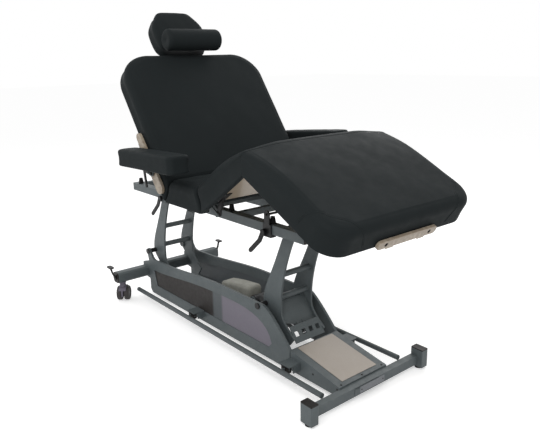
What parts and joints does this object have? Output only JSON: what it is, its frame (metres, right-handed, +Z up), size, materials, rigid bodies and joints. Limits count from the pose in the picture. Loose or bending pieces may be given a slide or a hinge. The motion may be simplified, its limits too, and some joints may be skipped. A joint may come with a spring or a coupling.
{
  "type": "massage table",
  "caption": "Electric-lift spa table with a four-section folding top, headrest, neck bolster, armrests and a parallel-arm base.",
  "frame": {"origin": "on the floor, under the middle of the overall length and width", "axes": "+X along the table towards the foot end, +Z up, -Y towards the side nearer the camera"},
  "size_m": [1.7648, 0.998, 1.5065],
  "materials": {
    "frame_paint": "mottled grey powder coat",
    "cap_plastic": "matte black",
    "pad_rubber": "matte",
    "cover_plate": "smooth tan paint",
    "window_sheet": "smooth tinted sheet",
    "black_steel": "black",
    "caster_plastic": "lavender grey",
    "caster_tread": "smooth grey tread",
    "bar_steel": "grey powder coat",
    "motor_shell": "beige-grey moulded",
    "ram_steel": "drawn",
    "ram_tube": "black",
    "vinyl": "grained charcoal vinyl over foam",
    "board_wood": "sealed maple plywood",
    "slat_wood": "clear lacquered maple",
    "lever_plastic": "black",
    "rod_steel": "polished"
  },
  "bodies": {
    "base": {"foot_crossbar": "frame_paint", "base_end_caps": "cap_plastic", "levelling_feet": "pad_rubber", "base_tray": "frame_paint", "tray_cover": "cover_plate", "side_plate_near": "frame_paint", "side_plate_far": "frame_paint", "window_panels": "window_sheet", "base_cross_members": "frame_paint", "head_crossbar": "frame_paint", "base_pivot_pins": "black_steel", "bar_brackets": "frame_paint", "bar_pivot_blocks": "cap_plastic"},
    "caster_near": {"caster_fork_near": "caster_plastic"},
    "caster_far": {"caster_fork_far": "caster_plastic"},
    "wheels_near": {"caster_wheels_near": "caster_tread"},
    "wheels_far": {"caster_wheels_far": "caster_tread"},
    "brake_bar": {"brake_pedal_bar": "black_steel"},
    "control_near": {"control_bar_near": "bar_steel"},
    "control_far": {"control_bar_far": "bar_steel"},
    "head_leg": {"head_leg": "frame_paint"},
    "foot_leg": {"foot_leg": "frame_paint"},
    "actuator": {"motor_housing": "motor_shell", "actuator_tube": "ram_tube"},
    "ram_rod": {"actuator_rod": "ram_steel"},
    "upper": {"upper_frame": "frame_paint", "rail_end_caps": "cap_plastic", "rail_bumpers": "pad_rubber", "seat_bearers": "frame_paint", "seat_board": "board_wood", "seat_cushion": "vinyl"},
    "back": {"back_board": "board_wood", "back_brackets": "frame_paint", "back_cushion": "vinyl", "back_slats": "slat_wood", "headrest_receiver": "lever_plastic"},
    "headrest_slider": {"headrest_rods": "rod_steel"},
    "headrest": {"headrest_plate": "board_wood", "headrest_pad": "vinyl", "neck_bolster": "vinyl"},
    "thigh": {"thigh_board": "board_wood", "thigh_brackets": "frame_paint", "thigh_cushion": "vinyl"},
    "leg": {"leg_board": "board_wood", "leg_cushion": "vinyl", "outlet_bar": "slat_wood", "knee_roll": "vinyl"},
    "back_prop": {"back_prop": "frame_paint"},
    "back_carriage": {"back_carriage": "frame_paint"},
    "thigh_prop": {"thigh_prop": "frame_paint"},
    "thigh_carriage": {"thigh_carriage": "frame_paint"},
    "back_clamp": {"back_clamp_lever": "lever_plastic"},
    "leg_clamp": {"leg_clamp_lever": "lever_plastic"},
    "armrest_near": {"armrest_near": "vinyl", "armrest_bracket_near": "frame_paint"},
    "armrest_far": {"armrest_far": "vinyl", "armrest_bracket_far": "frame_paint"},
    "armrest_lever_near": {"armrest_lever_near": "lever_plastic"},
    "armrest_lever_far": {"armrest_lever_far": "lever_plastic"}
  },
  "joints": [
    {"name": "lift", "type": "hinge", "parent": "base", "child": "head_leg", "pos_m": [-0.789, 0, 0.26], "axis": [0, 1, 0], "range_deg": [-10, 40]},
    {"name": "foot_leg_swing", "type": "hinge", "parent": "base", "child": "foot_leg", "pos_m": [0.186, 0, 0.246], "axis": [0, 1, 0], "range_deg": [-10, 40]},
    {"name": "top_level", "type": "hinge", "parent": "head_leg", "child": "upper", "pos_m": [-0.626, 0, 0.618], "axis": [0, 1, 0], "range_deg": [-40, 10]},
    {"name": "actuator_tilt", "type": "hinge", "parent": "base", "child": "actuator", "pos_m": [0.02094, 0, 0.18787], "axis": [0, 1, 0], "range_deg": [-5, 20]},
    {"name": "rod_turn", "type": "hinge", "parent": "foot_leg", "child": "ram_rod", "pos_m": [0.3239, 0, 0.13826], "axis": [0, 1, 0], "range_deg": [-20, 5]},
    {"name": "back_recline", "type": "hinge", "parent": "upper", "child": "back", "pos_m": [-0.144, 0, 0.678], "axis": [0, 1, 0], "range_deg": [-52.5, 6]},
    {"name": "back_prop_turn", "type": "hinge", "parent": "back", "child": "back_prop", "pos_m": [-0.34625, 0, 0.96365], "axis": [0, 1, 0], "range_deg": [-12, 105]},
    {"name": "back_carriage_level", "type": "hinge", "parent": "back_prop", "child": "back_carriage", "pos_m": [-0.5485, 0, 0.678], "axis": [0, 1, 0], "range_deg": [-52.5, 6]},
    {"name": "thigh_lift", "type": "hinge", "parent": "upper", "child": "thigh", "pos_m": [0.152, 0, 0.678], "axis": [0, -1, 0], "range_deg": [-32, 8]},
    {"name": "thigh_prop_turn", "type": "hinge", "parent": "thigh", "child": "thigh_prop", "pos_m": [0.21809, 0, 0.72308], "axis": [0, -1, 0], "range_deg": [-16, 64]},
    {"name": "thigh_carriage_level", "type": "hinge", "parent": "thigh_prop", "child": "thigh_carriage", "pos_m": [0.28418, 0, 0.678], "axis": [0, -1, 0], "range_deg": [-32, 8]},
    {"name": "knee_bend", "type": "hinge", "parent": "thigh", "child": "leg", "pos_m": [0.42369, 0, 0.95049], "axis": [0, -1, 0], "range_deg": [0, 61.8]},
    {"name": "back_clamp_turn", "type": "hinge", "parent": "back_carriage", "child": "back_clamp", "pos_m": [-0.561, -0.167, 0.6045], "axis": [0, 1, 0], "range_deg": [-60, 60]},
    {"name": "leg_clamp_turn", "type": "hinge", "parent": "thigh_carriage", "child": "leg_clamp", "pos_m": [0.27168, -0.167, 0.6045], "axis": [0, 1, 0], "range_deg": [-60, 60]},
    {"name": "headrest_slide", "type": "slide", "parent": "back", "child": "headrest_slider", "axis": [-0.5779, 0, 0.8161], "range_m": [0, 0.06]},
    {"name": "headrest_tilt", "type": "hinge", "parent": "headrest_slider", "child": "headrest", "pos_m": [-0.57114, 0, 1.28473], "axis": [0, 1, 0], "range_deg": [-20, 10]},
    {"name": "armrest_near_turn", "type": "hinge", "parent": "back", "child": "armrest_near", "pos_m": [-0.19899, -0.401, 0.81796], "axis": [0, 1, 0], "range_deg": [-60, 90]},
    {"name": "armrest_near_lever_turn", "type": "hinge", "parent": "armrest_near", "child": "armrest_lever_near", "pos_m": [-0.19899, -0.4065, 0.81796], "axis": [0, 1, 0], "range_deg": [-30, 12]},
    {"name": "caster_near_swivel", "type": "hinge", "parent": "base", "child": "caster_near", "pos_m": [-0.823, -0.295, 0.12], "axis": [0, 0, 1], "continuous": true},
    {"name": "armrest_far_turn", "type": "hinge", "parent": "back", "child": "armrest_far", "pos_m": [-0.19899, 0.401, 0.81796], "axis": [0, 1, 0], "range_deg": [-60, 90]},
    {"name": "armrest_far_lever_turn", "type": "hinge", "parent": "armrest_far", "child": "armrest_lever_far", "pos_m": [-0.19899, 0.4065, 0.81796], "axis": [0, 1, 0], "range_deg": [-30, 12]},
    {"name": "caster_far_swivel", "type": "hinge", "parent": "base", "child": "caster_far", "pos_m": [-0.823, 0.295, 0.12], "axis": [0, 0, 1], "continuous": true},
    {"name": "wheels_near_spin", "type": "hinge", "parent": "caster_near", "child": "wheels_near", "pos_m": [-0.83679, -0.28343, 0.039], "axis": [0.6428, 0.766, 0], "continuous": true},
    {"name": "wheels_far_spin", "type": "hinge", "parent": "caster_far", "child": "wheels_far", "pos_m": [-0.84039, 0.29034, 0.039], "axis": [-0.2588, 0.9659, 0], "continuous": true},
    {"name": "brake_turn", "type": "hinge", "parent": "base", "child": "brake_bar", "pos_m": [-0.823, 0, 0.142], "axis": [0, 1, 0], "range_deg": [-15, 15]},
    {"name": "control_near_press", "type": "hinge", "parent": "base", "child": "control_near", "pos_m": [0.032, -0.188, 0.062], "axis": [1, 0, 0], "range_deg": [0, 12], "stiffness_Nm_per_rad": 40, "springref_deg": -5.73},
    {"name": "control_far_press", "type": "hinge", "parent": "base", "child": "control_far", "pos_m": [0.032, 0.188, 0.062], "axis": [-1, 0, 0], "range_deg": [0, 12], "stiffness_Nm_per_rad": 40, "springref_deg": -5.73}
  ],
  "couplings": [
    {"joint": "foot_leg_swing", "follows": "lift", "ratio": 1},
    {"joint": "top_level", "follows": "lift", "ratio": -1},
    {"joint": "actuator_tilt", "follows": "lift", "ratio": 0.5},
    {"joint": "rod_turn", "follows": "lift", "ratio": -0.5},
    {"joint": "back_prop_turn", "follows": "back_recline", "ratio": -2},
    {"joint": "back_carriage_level", "follows": "back_recline", "ratio": 1},
    {"joint": "thigh_prop_turn", "follows": "thigh_lift", "ratio": -2},
    {"joint": "thigh_carriage_level", "follows": "thigh_lift", "ratio": 1}
  ]
}
